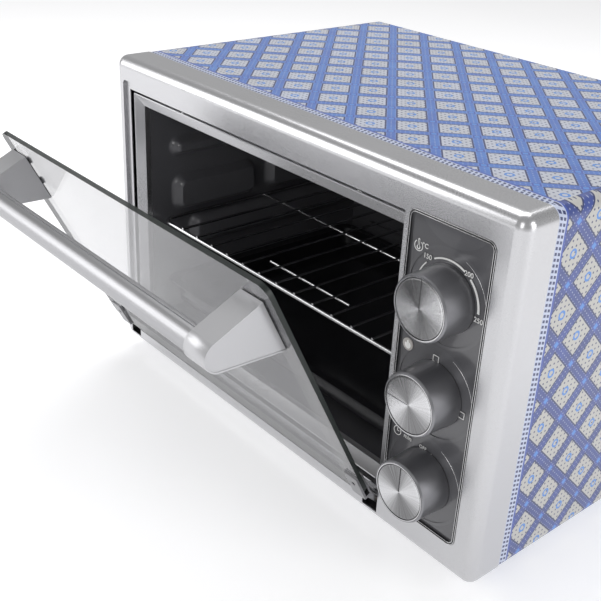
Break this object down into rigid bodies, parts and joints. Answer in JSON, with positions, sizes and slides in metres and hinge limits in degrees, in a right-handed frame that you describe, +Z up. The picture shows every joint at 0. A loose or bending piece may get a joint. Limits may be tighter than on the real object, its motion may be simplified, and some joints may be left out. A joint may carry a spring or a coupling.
{
  "type": "toaster oven",
  "caption": "Countertop toaster oven with a drop-down glass door, bar handle, rotary dials, wire rack and baking tray in a printed sheet-metal case.",
  "frame": {"origin": "middle of the whole box's underside, on the plane of the feet, with the door at its rest angle", "axes": "+X to the right seen from the front, +Y from the front face to the back, +Z up"},
  "size_m": [0.5, 0.527, 0.32],
  "materials": {
    "frame_silver": "satin silver paint",
    "printed_wrapper": "satin printed steel sheet",
    "zinc_sheet": "satin",
    "foot_rubber": "matte",
    "black_plastic": "matte",
    "screw_steel": "plain",
    "cavity_enamel": "glossy dark enamel",
    "bush_brass": "plain",
    "rod_sheath": "satin",
    "white_ceramic": "unglazed",
    "chrome_wire": "bright",
    "tray_enamel": "glossy enamel",
    "panel_grey": "gloss",
    "trim_black": "gloss",
    "switch_brown": "matte",
    "bulb_copper": "plain",
    "switch_ivory": "matte",
    "timer_case": "plain",
    "bell_steel": "plain",
    "lens_amber": "clear",
    "lamp_neon": "clear",
    "door_glass": "clear grey-green tint",
    "shoe_steel": "black oxide",
    "bracket_silver": "satin silver paint",
    "bar_aluminium": "brushed",
    "wire_sleeve": "matte",
    "knob_gunmetal": "satin metallic paint",
    "cap_spun": "spun",
    "ring_chrome": "bright"
  },
  "bodies": {
    "cabinet": {"front_frame": "frame_silver", "outer_wrapper": "printed_wrapper", "base_plate": "zinc_sheet", "rear_panel": "zinc_sheet", "feet": "foot_rubber", "foot_screws": "screw_steel", "rear_spacers": "black_plastic", "case_screws": "screw_steel", "cavity_left_wall": "cavity_enamel", "cavity_right_wall": "cavity_enamel", "cavity_roof": "cavity_enamel", "cavity_floor": "cavity_enamel", "cavity_back": "cavity_enamel", "cavity_screws": "screw_steel", "hinge_bushes": "bush_brass", "upper_heating_rods": "rod_sheath", "lower_heating_rods": "rod_sheath", "rod_insulators": "white_ceramic", "wire_rack": "chrome_wire", "baking_tray": "tray_enamel", "control_panel": "panel_grey", "panel_trim": "trim_black", "component_bracket": "zinc_sheet", "thermostat_body": "switch_brown", "thermostat_bulb": "bulb_copper", "selector_switch": "switch_ivory", "timer_body": "timer_case", "timer_bell": "bell_steel", "indicator_lens": "lens_amber", "indicator_lamp": "lamp_neon", "terminal_block": "white_ceramic", "cord_gland": "foot_rubber", "control_wiring": "wire_sleeve"},
    "door": {"door_glass": "door_glass", "hinge_shoe_left": "shoe_steel", "hinge_shoe_right": "shoe_steel", "hinge_pins": "screw_steel", "handle_pads": "foot_rubber", "handle_bracket_left": "bracket_silver", "handle_bracket_right": "bracket_silver", "handle_bar": "bar_aluminium", "handle_screws": "screw_steel"},
    "temperature_dial": {"temperature_knob": "knob_gunmetal", "temperature_knob_cap": "cap_spun", "temperature_knob_ring": "ring_chrome", "temperature_shaft": "screw_steel"},
    "function_dial": {"function_knob": "knob_gunmetal", "function_knob_cap": "cap_spun", "function_knob_ring": "ring_chrome", "function_shaft": "screw_steel"},
    "timer_dial": {"timer_knob": "knob_gunmetal", "timer_knob_cap": "cap_spun", "timer_knob_ring": "ring_chrome", "timer_shaft": "screw_steel"}
  },
  "joints": [
    {"name": "door_hinge", "type": "hinge", "parent": "cabinet", "child": "door", "pos_m": [0, -0.09504, 0.033], "axis": [1, 0, 0], "range_deg": [-27, 63]},
    {"name": "temperature_turn", "type": "hinge", "parent": "cabinet", "child": "temperature_dial", "pos_m": [0.1908, -0.09954, 0.2395], "axis": [0, 1, 0], "range_deg": [-120, 120]},
    {"name": "function_turn", "type": "hinge", "parent": "cabinet", "child": "function_dial", "pos_m": [0.1908, -0.09954, 0.1615], "axis": [0, 1, 0], "range_deg": [0, 270]},
    {"name": "timer_turn", "type": "hinge", "parent": "cabinet", "child": "timer_dial", "pos_m": [0.1908, -0.09954, 0.0835], "axis": [0, 1, 0], "range_deg": [0, 300]}
  ]
}
